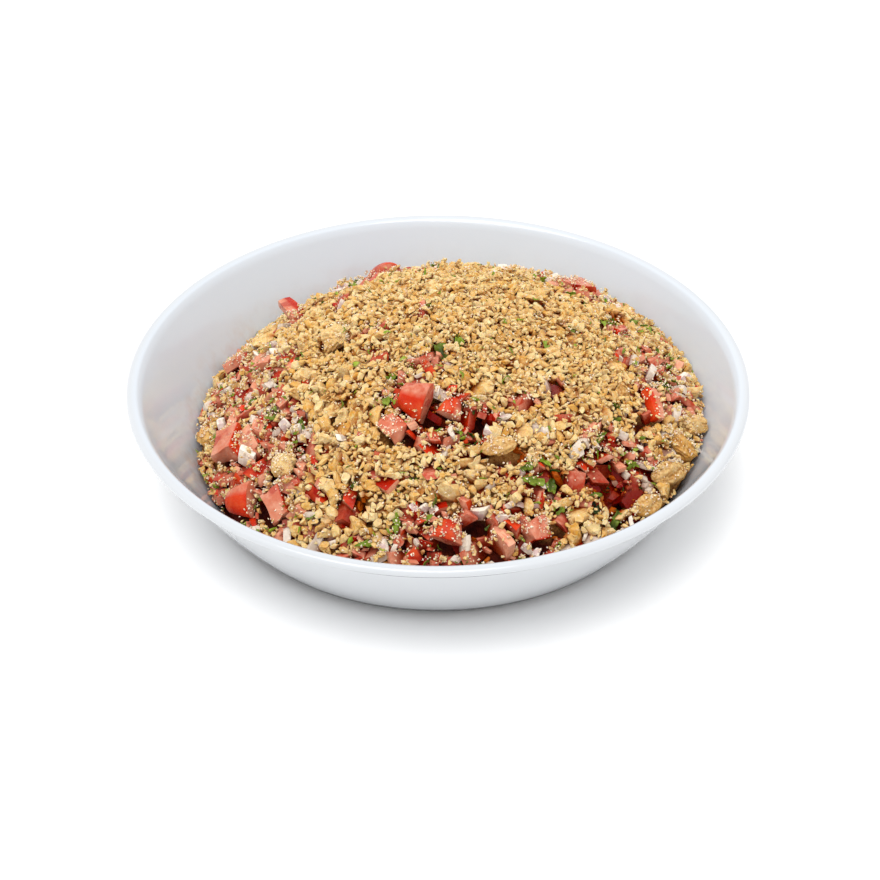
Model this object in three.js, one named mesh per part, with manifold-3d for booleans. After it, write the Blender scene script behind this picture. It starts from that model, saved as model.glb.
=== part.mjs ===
// Bowl of tomato and walnut salad: a shallow white bowl with a small turned-out lip, heaped with chopped
// tomato, onion and parsley under a thick cover of chopped walnuts.
// Millimetres, +Z up. The origin is on the table under the middle of the bowl, and -Y is the near side.

import * as THREE from "three";
import { mergeVertices } from "three/addons/utils/BufferGeometryUtils.js";
import Module from "manifold-3d";

const wasm = await Module();
wasm.setup();

// ---- Driving dimensions of the bowl ----
const BOWL_DIAMETER = 250;
const BOWL_HEIGHT = 48;
const FOOT_DIAMETER = 180;
const WALL = 3; // thickness of the side
const FLOOR = 4; // height of the inner floor over the table
const FOOT_RING = 6; // width of the ring that the bowl stands on
const FOOT_RECESS = 1.6; // the underside inside that ring is this much higher
const LIP_WIDTH = 4.5;
const LIP_THICKNESS = 3.2;
const WALL_BULGE = 0.85; // exponent of the side's curve: 1 is a straight cone, less is fuller below
const SIDE_TOP_INSET = 2; // the side ends this far inside and below the outermost and highest lines of the lip
const INSIDE_TOP = 4; // the straight inside starts this far below the rim
const CORNER_LEVEL = 7; // below this height the inside runs into the floor
const CORNER_WIDTH = 5; // over this width
const ROUND_STEPS = 64; // sides of everything that is turned about the bowl's axis

// ---- Driving dimensions of the heap ----
const GAP = 0.35; // clearance between the food and the bowl
const SIDE_GAP = 1.3 * GAP; // that clearance measured along the radius, on the sloping side
const HOLLOW_EXTRA = 1.61; // the hollow for a loose piece is this much longer, wider and deeper than it
const EDGE_LEVEL = 23.5; // mean height at which the food meets the bowl's side
const EDGE_SWING = 8; // the food stands this much higher at the far right, and lower at the near left
const EDGE_HIGH_SIDE = THREE.MathUtils.degToRad(35); // azimuth of that high side
const HEAP_RISE = 47.5; // the heap's middle over its edge
const HEAP_ROUNDNESS = 1.9; // exponent of the dome's fall from its middle
const BROAD_HUMPS = 1.3; // the heap rises and falls this much over about 30 mm
const SMALL_HUMPS = 0.8; // and this much over about 15 mm
const HUMPS_FADE = 0.15; // share of the radius over which both fade out at the heap's edge
const CORE_DROP = 2.2; // the bare core lies this far under the tops of the pieces
const CORE_DETAIL = 16; // corners along each edge of the core's twenty facets
const CORE_REACH = 1.08; // the uncut core's radius over that of the heap's edge
const CORE_UNDERSIDE = -5; // level of its underside, which is cut off at the bowl's floor
const BUMP = 2; // the core's corners are up to this much higher or lower than its dome

const TURN = Math.PI * 2;
const GOLDEN_ANGLE = Math.PI * (3 - Math.sqrt(5));

// Where the chopped salad shows through the walnuts: middle and half sizes of each bare patch, seen from above.
const BARE_PATCHES = [
  { x: 4, y: -46, across: 21, along: 12 },
  { x: -71, y: -42, across: 25, along: 30 },
  { x: -76, y: 20, across: 15, along: 16 },
  { x: 8, y: -88, across: 46, along: 15 },
  { x: 66, y: -48, across: 23, along: 20 },
  { x: 89, y: -4, across: 12, along: 18 },
  { x: -24, y: 84, across: 32, along: 15 },
  { x: 57, y: 66, across: 22, along: 17 },
];

// The pieces large enough to be picked off one by one. x and y are places seen from above, size is length,
// width and thickness, turn is the angle from +X to the length, and lean lifts its front end.
const LOOSE_PIECES = [
  { name: "tomato_wedge_centre", make: tomatoWedge, x: -8, y: -37, size: [17, 11, 8], turn: 58, lean: 24 },
  { name: "tomato_wedge_centre_right", make: tomatoWedge, x: 5, y: -42, size: [10, 7, 6], turn: -20, lean: -8 },
  { name: "tomato_chunk_centre_left", make: tomatoCube, x: -17, y: -46, size: [10, 8, 5], turn: 120, lean: -6 },
  { name: "tomato_strip_far_left", make: tomatoStrip, x: -61, y: 55, size: [17, 6.5, 3.5], turn: 118, lean: 34 },
  { name: "tomato_slice_left", make: tomatoStrip, x: -84, y: 33, size: [12, 7, 3.5], turn: 190, lean: 12 },
  { name: "tomato_strip_right", make: tomatoStrip, x: 85, y: -18, size: [14, 5.5, 4], turn: -62, lean: 6 },
  { name: "tomato_wedge_near_left", make: tomatoWedge, x: -76, y: -51, size: [15, 11, 7.5], turn: 62, lean: 16 },
  { name: "tomato_cube_left", make: tomatoCube, x: -83, y: -22, size: [13, 11, 7], turn: 70, lean: 8 },
  { name: "tomato_cube_near_left", make: tomatoCube, x: -62, y: -60, size: [13, 8, 6], turn: 100, lean: 4 },
  { name: "tomato_wedge_near", make: tomatoWedge, x: 4, y: -84, size: [13, 8, 6], turn: -18, lean: 4 },
  { name: "tomato_cube_near_right", make: tomatoCube, x: 37, y: -82, size: [9, 8, 6], turn: 30, lean: 0 },
  { name: "walnut_quarter_right", make: walnutQuarter, x: 90, y: -46, size: [18, 9, 7], turn: 28, lean: 2 },
  { name: "walnut_stick_right", make: walnutQuarter, x: 81, y: -62, size: [14, 8, 6.5], turn: 40, lean: 0 },
  { name: "walnut_chunk_far_right", make: walnutChunk, x: 102, y: -15, size: [13, 9, 7], turn: 25, lean: 8 },
  { name: "walnut_chunk_right", make: walnutChunk, x: 96, y: -31, size: [15, 9, 7], turn: -20, lean: 0 },
  { name: "walnut_chunk_left", make: walnutChunk, x: -94, y: -8, size: [11, 9, 7], turn: -60, lean: 0 },
  { name: "walnut_chunk_near_left", make: walnutChunk, x: -60, y: -46, size: [12, 10, 7.5], turn: 60, lean: 4 },
  { name: "walnut_nugget_far_left", make: walnutChunk, x: -41, y: 8, size: [13, 12, 10], turn: 10, lean: 0 },
  { name: "walnut_flake_centre_right", make: walnutQuarter, x: 23, y: -57, size: [14, 7, 4.5], turn: 8, lean: 4 },
  { name: "walnut_chunk_far_side", make: walnutChunk, x: 34, y: 60, size: [14, 11, 8], turn: 140, lean: 0 },
  { name: "tomato_wedge_far_side", make: tomatoWedge, x: -22, y: 82, size: [16, 11, 8], turn: 200, lean: 6 },
  { name: "tomato_cube_far_side", make: tomatoCube, x: 58, y: 66, size: [14, 10, 7], turn: 35, lean: 4 },
];
const SUNK = 0.45; // share of a loose piece's thickness that is pressed into the heap

// ---- The small pieces that are fused to the heap ----
const PIECES = 250; // places spread evenly over the heap
const NUT_STEP = 2; // outside the bare patches one place in so many is filled
const SCATTER = 1.5; // a piece lies up to this far from its place
const NUT_LEAST = 5.5;
const NUT_EXTRA = 2;
const NUT_RANGE = 4; // the walnut bits get up to this much coarser from the middle to the edge
const LAID_IN_PATCHES = ["parsley", "onion", "tomato", "parsley", "tomato", "onion", "walnut"]; // in turn
const PARSLEY_LENGTH = [8, 10];
const PARSLEY_THICKNESS = 0.8;
const CUT_SIZES = {
  onion: { length: [5, 7.5], width: [4, 6], thickness: [3.5, 5], lift: 0 },
  tomato: { length: [9, 13], width: [7, 10], thickness: [5, 8], lift: 0 },
  stray: { length: [6, 9], width: [5, 7], thickness: [3, 5], lift: -0.5 },
};
const EDGE_MARGIN = 0.97; // the spread ends at this share of the heap's radius
const STRAY_SHARE = 0.07; // share of tomato and onion bits that show between the walnuts
const FINEST = 0.25; // corners and slivers smaller than this are smoothed away

const MATERIALS = {
  bowl: new THREE.MeshStandardMaterial({ color: 0xeef0f2, roughness: 0.22, metalness: 0 }),
  salad: new THREE.MeshStandardMaterial({ color: 0xd9b27c, roughness: 0.75, metalness: 0 }),
  tomato: new THREE.MeshStandardMaterial({ color: 0xd4472f, roughness: 0.35, metalness: 0 }),
  walnut: new THREE.MeshStandardMaterial({ color: 0xe0b877, roughness: 0.65, metalness: 0 }),
};

// A seeded source of evenly spread numbers from 0 to 1.
function seededRandom(seed) {
  let state = seed;
  return () => {
    state = (state + 0x6d2b79f5) | 0;
    let t = Math.imul(state ^ (state >>> 15), 1 | state);
    t = (t + Math.imul(t ^ (t >>> 7), 61 | t)) ^ t;
    return ((t ^ (t >>> 14)) >>> 0) / 4294967296;
  };
}

const random = seededRandom(2026);
const between = (low, high) => low + (high - low) * random();

// ---- Between three.js geometry and manifold solids ----
function merged(geometry) {
  const bare = geometry.clone();
  bare.deleteAttribute("normal");
  bare.deleteAttribute("uv");
  return mergeVertices(bare, 1e-4);
}

function solidFrom(geometry) {
  const joined = merged(geometry);
  const corners = joined.index.array;
  const kept = [];
  for (let i = 0; i < corners.length; i += 3) {
    const [a, b, c] = [corners[i], corners[i + 1], corners[i + 2]];
    if (a !== b && b !== c && c !== a) kept.push(a, b, c);
  }
  const mesh = new wasm.Mesh({
    numProp: 3,
    vertProperties: new Float32Array(joined.attributes.position.array),
    triVerts: new Uint32Array(kept),
  });
  return new wasm.Manifold(mesh);
}

function geometryFrom(solid) {
  const mesh = solid.getMesh();
  const geometry = new THREE.BufferGeometry();
  geometry.setAttribute("position", new THREE.BufferAttribute(new Float32Array(mesh.vertProperties), 3));
  geometry.setIndex(new THREE.BufferAttribute(new Uint32Array(mesh.triVerts), 1));
  geometry.computeVertexNormals();
  return geometry;
}

// The largest of a solid's separate shells: a loose scrap is dropped, and a sealed hollow is filled.
function largestShell(solid) {
  const shells = solid.decompose();
  return shells.reduce((best, shell) => (shell.volume() > best.volume() ? shell : best));
}

// Moves every vertex of a geometry by a function of its place, after merging vertices so that it stays closed.
function reshape(geometry, move) {
  const shaped = merged(geometry);
  const position = shaped.attributes.position;
  const point = new THREE.Vector3();
  for (let i = 0; i < position.count; i++) {
    move(point.fromBufferAttribute(position, i));
    position.setXYZ(i, point.x, point.y, point.z);
  }
  return shaped;
}

// A profile of (radius, height) points turned about the Z axis.
function turned(points) {
  return new THREE.LatheGeometry(points, ROUND_STEPS).rotateX(Math.PI / 2);
}

// ---- Bowl ----
const LIP_TOP_RADIUS = BOWL_DIAMETER / 2 - LIP_THICKNESS / 2;
const LIP_LEVEL = BOWL_HEIGHT - LIP_THICKNESS / 2;

function outerRadius(z) {
  const foot = FOOT_DIAMETER / 2;
  const top = BOWL_DIAMETER / 2 - SIDE_TOP_INSET;
  return foot + (top - foot) * Math.pow(Math.max(z, 0) / (BOWL_HEIGHT - SIDE_TOP_INSET), WALL_BULGE);
}

function innerRadius(z) {
  const step = 0.5;
  const slope = (outerRadius(z + step) - outerRadius(z)) / step;
  return outerRadius(z) - WALL * Math.hypot(1, slope);
}

function bowlProfile() {
  const points = [];
  const add = (radius, z) => points.push(new THREE.Vector2(radius, z));
  add(0, FOOT_RECESS);
  add(FOOT_DIAMETER / 2 - FOOT_RING - FOOT_RECESS, FOOT_RECESS);
  add(FOOT_DIAMETER / 2 - FOOT_RING, 0);
  add(FOOT_DIAMETER / 2 - 0.5, 0);
  for (const z of [1, 6, 13, 21, 30, 38, LIP_LEVEL - LIP_THICKNESS / 2]) add(outerRadius(z), z);
  const round = LIP_THICKNESS / 2;
  for (let i = 0; i <= 4; i++) {
    const turn = Math.PI * (i / 4 - 0.5);
    add(LIP_TOP_RADIUS + round * Math.cos(turn), LIP_LEVEL + round * Math.sin(turn));
  }
  add(BOWL_DIAMETER / 2 - LIP_WIDTH, BOWL_HEIGHT - 0.5);
  for (const z of [BOWL_HEIGHT - INSIDE_TOP, 37, 29, 20, 12, CORNER_LEVEL]) add(innerRadius(z), z);
  add(innerRadius(CORNER_LEVEL) - CORNER_WIDTH, FLOOR);
  add(0, FLOOR);
  return points;
}

function bowl() {
  const geometry = turned(bowlProfile());
  const mesh = new THREE.Mesh(geometry, MATERIALS.bowl);
  mesh.name = "bowl";
  return mesh;
}

// The room inside the bowl, less the gap, from its floor to well over the heap.
function roomInBowl() {
  const sky = 130;
  const rim = BOWL_DIAMETER / 2 - LIP_WIDTH - SIDE_GAP;
  const points = [];
  const add = (radius, z) => points.push(new THREE.Vector2(radius, z));
  add(0, FLOOR + GAP);
  add(innerRadius(CORNER_LEVEL) - CORNER_WIDTH - GAP, FLOOR + GAP);
  for (const z of [CORNER_LEVEL, 12, 20, 29, 37, BOWL_HEIGHT - INSIDE_TOP]) add(innerRadius(z) - SIDE_GAP, z);
  add(rim, BOWL_HEIGHT - 0.5);
  add(rim, sky);
  add(0, sky);
  return solidFrom(turned(points));
}

// ---- Heap ----
const edgeLevel = (azimuth) => EDGE_LEVEL + EDGE_SWING * Math.cos(azimuth - EDGE_HIGH_SIDE);
const edgeRadius = (azimuth) => innerRadius(edgeLevel(azimuth)) - SIDE_GAP;

// Slow humps and hollows of the heaped salad.
function humps(x, y, share) {
  const fade = THREE.MathUtils.clamp((1 - share) / HUMPS_FADE, 0, 1);
  const across = Math.sin(0.21 * x + 1.3 * Math.sin(0.17 * y + 1));
  const along = Math.cos(0.19 * y - 0.6 * Math.sin(0.23 * x));
  const small = Math.sin(0.43 * x - 0.31 * y + 2) * Math.sin(0.37 * y + 0.29 * x);
  return fade * (BROAD_HUMPS * across * along + SMALL_HUMPS * small);
}

// Height of the heap at a share of the way from its middle to its edge.
function heapLevel(share, azimuth) {
  const tilt = EDGE_SWING * Math.cos(azimuth - EDGE_HIGH_SIDE) * share;
  const radius = share * edgeRadius(azimuth);
  const dome = EDGE_LEVEL + tilt + HEAP_RISE * (1 - Math.pow(share, HEAP_ROUNDNESS));
  return dome + humps(radius * Math.cos(azimuth), radius * Math.sin(azimuth), share);
}

function heapHeight(x, y) {
  const azimuth = Math.atan2(y, x);
  return heapLevel(Math.min(Math.hypot(x, y) / edgeRadius(azimuth), 1), azimuth);
}

function heapNormal(x, y) {
  const step = 1;
  const alongX = (heapHeight(x + step, y) - heapHeight(x - step, y)) / (2 * step);
  const alongY = (heapHeight(x, y + step) - heapHeight(x, y - step)) / (2 * step);
  return new THREE.Vector3(-alongX, -alongY, 1).normalize();
}

// The bare core under the pieces: a ball whose upper half is spread over the heap, each corner a little up or
// down like the crumbs there, and whose lower half is drawn out flat under the bowl's floor. It reaches past
// the bowl's side, and is then cut to the room in the bowl.
function core() {
  return reshape(new THREE.IcosahedronGeometry(1, CORE_DETAIL), (point) => {
    const quarterTurns = Math.acos(THREE.MathUtils.clamp(point.z, -1, 1)) / (Math.PI / 2);
    const azimuth = Math.atan2(point.y, point.x);
    const share = CORE_REACH * (quarterTurns > 1 ? 2 - quarterTurns : quarterTurns);
    point.x = share * edgeRadius(azimuth) * Math.cos(azimuth);
    point.y = share * edgeRadius(azimuth) * Math.sin(azimuth);
    point.z = quarterTurns > 1 ? CORE_UNDERSIDE : heapLevel(share, azimuth) - CORE_DROP + between(-BUMP, BUMP);
  });
}

// Puts a shape made about its own middle onto the heap: X along the heading, Z out of the heap.
function seatOnHeap(x, y, heading, lean, lift) {
  const out = heapNormal(x, y);
  const ahead = new THREE.Vector3(Math.cos(heading), Math.sin(heading), 0).projectOnPlane(out).normalize();
  const side = new THREE.Vector3().crossVectors(out, ahead);
  const seat = new THREE.Matrix4().makeBasis(ahead, side, out);
  seat.multiply(new THREE.Matrix4().makeRotationY(-lean));
  seat.setPosition(new THREE.Vector3(x, y, heapHeight(x, y)).addScaledVector(out, lift));
  return seat;
}

// ---- Pieces of food, each made about its own middle ----
// A cut cube, pulled out of square by a slow wave.
function tomatoCube([length, width, thickness]) {
  return reshape(new THREE.BoxGeometry(2, 2, 2, 2, 2, 1), (point) => {
    const { x, y, z } = point;
    const pull = 1 + 0.13 * Math.sin(1.9 * x + 2.6 * y + 1.7 * z + length);
    point.x = (length / 2) * x * pull * (1 - 0.07 * z);
    point.y = (width / 2) * y * pull;
    point.z = (thickness / 2) * z * (1 + 0.08 * Math.cos(0.9 * x - 1.3 * y));
  });
}

// A wedge of tomato: its skin is an arc, and two flat cuts meet under it.
function tomatoWedge([length, width, thickness]) {
  const steps = 7;
  const section = new THREE.Shape();
  section.moveTo(-length / 2, -thickness * 0.15);
  for (let i = 1; i < steps; i++) {
    const turn = Math.PI * (1 - i / steps);
    section.lineTo((length / 2) * Math.cos(turn), thickness * (0.5 * Math.sin(turn) - 0.05));
  }
  section.lineTo(length / 2, -thickness * 0.15);
  section.lineTo(length * 0.12, -thickness * 0.5);
  const wedge = new THREE.ExtrudeGeometry(section, { depth: width, steps: 2, bevelEnabled: false });
  wedge.translate(0, 0, -width / 2).rotateX(Math.PI / 2);
  return reshape(wedge, (point) => {
    const taper = 1 - 0.4 * (point.y / width + 0.5);
    point.x *= taper;
    point.z += 0.12 * width * (1 - Math.pow((2 * point.y) / width, 2));
  });
}

// A curved strip of tomato, with its skin on the outside of the curve.
function tomatoStrip([length, width, thickness]) {
  return reshape(new THREE.BoxGeometry(length, width, thickness, 5, 1, 1), (point) => {
    const along = point.x / length;
    point.y *= 1 - 0.35 * along * along - 0.12 * along;
    point.z += 0.14 * length * (0.25 - along * along) - 0.08 * Math.abs(point.y);
  });
}

// A knobbly broken piece of walnut.
function walnutChunk([length, width, thickness]) {
  return reshape(new THREE.IcosahedronGeometry(0.5, 1), (point) => {
    const { x, y, z } = point;
    const lobes = 1 + 0.1 * Math.sin(9 * x + 4 * y) * Math.cos(8 * z - 3 * x) + 0.08 * Math.sin(13 * y + 5 * z);
    point.multiplyScalar(lobes * 1.02);
    point.z = Math.max(point.z, -0.36);
    point.x = Math.min(point.x, 0.44);
    point.multiply(new THREE.Vector3(length, width, thickness));
  });
}

// A quarter of a walnut kernel: long, pointed at its ends and folded along its back.
function walnutQuarter([length, width, thickness]) {
  return reshape(new THREE.SphereGeometry(0.5, 10, 8).rotateZ(Math.PI / 2), (point) => {
    const around = Math.atan2(point.z, point.y);
    const along = point.x;
    const fold = 1 + 0.13 * Math.cos(5 * around + 6 * along) * (1 - 4 * along * along);
    point.y *= fold;
    point.z *= fold;
    point.z = Math.max(point.z, -0.3) - 0.25 * along * along;
    point.multiply(new THREE.Vector3(length, width, thickness));
  });
}

// A small piece of chopped walnut: twelve corners, or six on the smallest, each moved in or out.
function nutBit(size) {
  const flat = between(0.6, 0.95);
  const long = between(1, 1.35);
  const blank = size > 6 ? new THREE.IcosahedronGeometry(0.5, 0) : new THREE.OctahedronGeometry(0.55, 0);
  return reshape(blank, (point) => {
    point.multiplyScalar(size * between(0.78, 1.12));
    point.x *= long;
    point.z *= flat;
  });
}

// A cut bit of tomato or onion: a box whose corners are each moved a little.
function cutBit(length, width, thickness) {
  const loose = 0.14;
  return reshape(new THREE.BoxGeometry(length, width, thickness), (point) => {
    point.x *= 1 + between(-loose, loose);
    point.y *= 1 + between(-loose, loose);
    point.z *= 1 + between(-loose, loose);
  });
}

// A torn leaf of parsley: three lobes, thin and wavy.
function parsleyBit(length) {
  const outline = new THREE.Shape();
  const points = 9;
  for (let i = 0; i < points; i++) {
    const turn = (TURN * i) / points;
    const reach = (length / 2) * (0.78 + 0.22 * Math.cos(3 * turn));
    if (i) outline.lineTo(reach * Math.cos(turn), reach * 0.8 * Math.sin(turn));
    else outline.moveTo(reach, 0);
  }
  const leaf = new THREE.ExtrudeGeometry(outline, { depth: PARSLEY_THICKNESS, bevelEnabled: false });
  const curl = between(0.1, 0.2);
  return reshape(leaf, (point) => {
    point.z += curl * length * Math.sin((point.x * TURN) / length) + 0.6;
  });
}

// ---- The loose pieces, each in its own node ----
function loosePiece({ name, make, x, y, size, turn, lean }) {
  const material = name.startsWith("walnut") ? MATERIALS.walnut : MATERIALS.tomato;
  const mesh = new THREE.Mesh(make(size), material);
  mesh.name = name;
  const heading = THREE.MathUtils.degToRad(turn);
  const tip = THREE.MathUtils.degToRad(lean);
  const lift = size[2] * (0.5 - SUNK) + (size[0] / 2) * Math.abs(Math.sin(tip)) * 0.6;
  seatOnHeap(x, y, heading, tip, lift).decompose(mesh.position, mesh.quaternion, mesh.scale);
  mesh.updateMatrixWorld(true);
  return mesh;
}

// The hollow for a loose piece: the piece itself, drawn out evenly from its middle.
function roomOfPiece(mesh) {
  const swollen = mesh.geometry.clone();
  swollen.computeBoundingBox();
  const middle = swollen.boundingBox.getCenter(new THREE.Vector3());
  const size = swollen.boundingBox.getSize(new THREE.Vector3());
  const grow = new THREE.Vector3(1, 1, 1).multiplyScalar(HOLLOW_EXTRA).divide(size).addScalar(1);
  swollen.translate(-middle.x, -middle.y, -middle.z).scale(grow.x, grow.y, grow.z);
  swollen.translate(middle.x, middle.y, middle.z);
  return solidFrom(swollen.applyMatrix4(mesh.matrixWorld));
}

// ---- The heap with its small pieces fused on ----
function isBare(x, y) {
  const within = (patch) => Math.hypot((x - patch.x) / patch.across, (y - patch.y) / patch.along) < 1;
  return BARE_PATCHES.some(within);
}

// A small piece of one kind, and how far it is lifted out of the heap. Walnut bits get coarser to the edge.
function smallPiece(kind, share) {
  if (kind === "parsley") return { geometry: parsleyBit(between(...PARSLEY_LENGTH)), lift: 0.6 };
  if (kind === "walnut") {
    return { geometry: nutBit(NUT_LEAST + NUT_RANGE * share * random() + NUT_EXTRA * random()), lift: -0.2 };
  }
  const { length, width, thickness, lift } = CUT_SIZES[kind];
  return { geometry: cutBit(between(...length), between(...width), between(...thickness)), lift };
}

// The small pieces, spread evenly over the heap and each turned at random. One that would lie under a loose
// piece is left out.
function smallPieces(loose) {
  const solids = [];
  let laid = 0;
  for (let i = 0; i < PIECES; i++) {
    const azimuth = i * GOLDEN_ANGLE;
    const share = EDGE_MARGIN * Math.sqrt((i + 0.5) / PIECES);
    const x = share * edgeRadius(azimuth) * Math.cos(azimuth) + between(-SCATTER, SCATTER);
    const y = share * edgeRadius(azimuth) * Math.sin(azimuth) + between(-SCATTER, SCATTER);
    const bare = isBare(x, y);
    if (!bare && i % NUT_STEP) continue;
    const stray = !bare && random() < STRAY_SHARE;
    const kind = bare ? LAID_IN_PATCHES[++laid % LAID_IN_PATCHES.length] : stray ? "stray" : "walnut";
    const { geometry, lift } = smallPiece(kind, share);
    const seat = seatOnHeap(x, y, between(0, TURN), between(-0.5, 0.5), lift - CORE_DROP / 2);
    const place = new THREE.Vector3().setFromMatrixPosition(seat);
    const covered = loose.some((mesh) => mesh.position.distanceTo(place) < mesh.geometry.boundingSphere.radius);
    if (!covered) solids.push(solidFrom(geometry.applyMatrix4(seat)));
  }
  return solids;
}

function salad(loose) {
  let heap = solidFrom(core());
  for (const piece of smallPieces(loose)) heap = heap.add(piece);
  for (const mesh of loose) heap = heap.subtract(roomOfPiece(mesh));
  heap = largestShell(heap.intersect(roomInBowl()).simplify(FINEST));
  const mesh = new THREE.Mesh(geometryFrom(heap), MATERIALS.salad);
  mesh.name = "salad";
  return mesh;
}

// ---- The whole ----
const object = new THREE.Group();
const loose = LOOSE_PIECES.map(loosePiece);
for (const mesh of loose) mesh.geometry.computeBoundingSphere();
object.add(bowl(), salad(loose), ...loose);

export default object;
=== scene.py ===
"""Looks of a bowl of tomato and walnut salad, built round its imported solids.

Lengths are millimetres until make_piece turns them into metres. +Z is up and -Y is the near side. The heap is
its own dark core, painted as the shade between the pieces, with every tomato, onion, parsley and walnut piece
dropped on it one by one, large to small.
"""

import bpy
import numpy as np
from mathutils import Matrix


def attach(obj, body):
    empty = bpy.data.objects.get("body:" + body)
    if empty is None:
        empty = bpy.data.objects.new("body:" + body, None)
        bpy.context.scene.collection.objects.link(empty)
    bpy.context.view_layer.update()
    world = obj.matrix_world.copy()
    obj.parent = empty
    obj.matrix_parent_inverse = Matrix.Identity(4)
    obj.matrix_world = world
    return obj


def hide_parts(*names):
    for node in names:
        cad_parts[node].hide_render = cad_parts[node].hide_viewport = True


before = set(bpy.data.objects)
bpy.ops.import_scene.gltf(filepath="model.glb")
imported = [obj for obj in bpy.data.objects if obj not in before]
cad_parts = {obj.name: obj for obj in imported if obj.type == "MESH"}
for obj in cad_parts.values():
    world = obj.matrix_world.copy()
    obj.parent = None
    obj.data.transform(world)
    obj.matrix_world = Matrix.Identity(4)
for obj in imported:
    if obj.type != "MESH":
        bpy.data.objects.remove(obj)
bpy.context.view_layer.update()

MM = 0.001
TURN = 2 * np.pi

# ---- Bowl, as in the solids ----
FOOT_RADIUS = 90.0
SIDE_TOP_RADIUS = 123.0
SIDE_TOP = 46.0
WALL_BULGE = 0.85
WALL = 3.0
FLOOR = 4.0
BOWL_HEIGHT = 48.0
BOWL_RADIUS = 125.0
LIP_THICKNESS = 3.2
LIP_WIDTH = 4.5
FOOT_RING = 6.0
FOOT_RECESS = 1.6

# ---- Bowl, here alone ----
SHADE_LINE = (41.4, 42.5)  # heights of the thin line of painted shade in the glaze under the lip
CORNER = 8.0  # height at which the inside of the side turns into the floor
FOOT_TUCK = 4.0  # the foot's edge is drawn in by this much, up to this height
JUICE_HEIGHT = 11.0  # the smear of juice on the inside reaches this far over the food
JUICY_SIDE = np.radians(195)

# ---- Heap, as in the solids ----
GAP = 0.35
EDGE_LEVEL = 23.5
EDGE_SWING = 8.0
EDGE_HIGH_SIDE = np.radians(35)
HEAP_RISE = 47.5
HEAP_ROUNDNESS = 1.9
BROAD_HUMPS = 1.3
SMALL_HUMPS = 0.8
HUMPS_FADE = 0.15
SUNK = 0.45

# ---- Heap, here alone ----
CORE_SUNK = 5.5
CORE_SUNK_IN_PATCHES = 11.0
CORE_UNDERSIDE = FLOOR + 0.6
CORE_EDGE = 3.0  # the core ends this far short of the food's edge
HOLLOW_DEPTH = 6.0
FOOTPRINT = 0.92  # share of its mean width that a dropped piece lies on
REST = 0.6  # share of a piece's footprint that lies lower than where it comes to rest
CLEAR_OF_EDGE = 0.8  # share of its half length that a dropped piece keeps from the food's edge
CLEAR_OF_WALL = 0.85  # and from the bowl's side
CLEAR_OF_SIDE = 1.5  # the core keeps this far from the bowl's side
HIGHEST = 74.3  # no piece stands higher than this
PAINTED_SHADE_PER_MM = 0.06  # painted shade: how much a piece is darkened for each millimetre under the dome
DAMP_SHADE_DEPTH = 2.6  # painted shade and dampness: so far under the dome the pieces are darkened all through
FACE_TO_FACE = 0.11  # how much one broken face differs in light from the next
DENT = 0.3  # share of its radius by which a broken nut is hollowed
LEAF_THICKNESS = 0.06  # share of a leaf's own half height
LOOSE_DAMP_SHADE = 0.5  # how far the large loose pieces take the painted shade and dampness, next to the small ones
MIXED_AT_EDGE = 0.14  # how far the chopped salad shows through the walnuts at the heap's edge

# Middle and half sizes of each patch where the chopped salad shows through the walnuts, seen from above.
BARE_PATCHES = (
    (4, -46, 21, 12), (-14, -31, 9, 8), (-4, -20, 11, 4), (32, -36, 6, 4), (45, -24, 6, 3),
    (25, -60, 6, 3), (38, -66, 8, 9), (-34, -68, 5, 6), (-27, 6, 5, 4), (-5, 12, 3, 3),
    (74, 27, 6, 6), (76, 7, 5, 6), (-40, 44, 5, 5), (-71, -42, 25, 28), (-77, 10, 19, 24),
    (10, -88, 42, 14), (68, -51, 19, 16), (91, 2, 13, 22), (-24, 84, 32, 15), (57, 66, 22, 17),
)

# Middle and radius of the dark hollows between the pieces, seen from above.
HOLLOWS = (
    (66, -61, 8), (-2, -45, 5), (78, -60, 4.5), (14, -82, 4.5), (80, -26, 4),
    (-35, -73, 4), (45, -26, 3.5), (22, -92, 4), (16, -46, 3.5), (-29, -71, 3),
    (45, -63, 4), (88, -11, 3.5), (31, -59, 3), (-10, -52, 3), (46, -80, 3),
    (-33, 3, 2.5), (-70, 42, 3), (20, 78, 5), (-50, 60, 4), (74, 40, 5),
)

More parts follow.
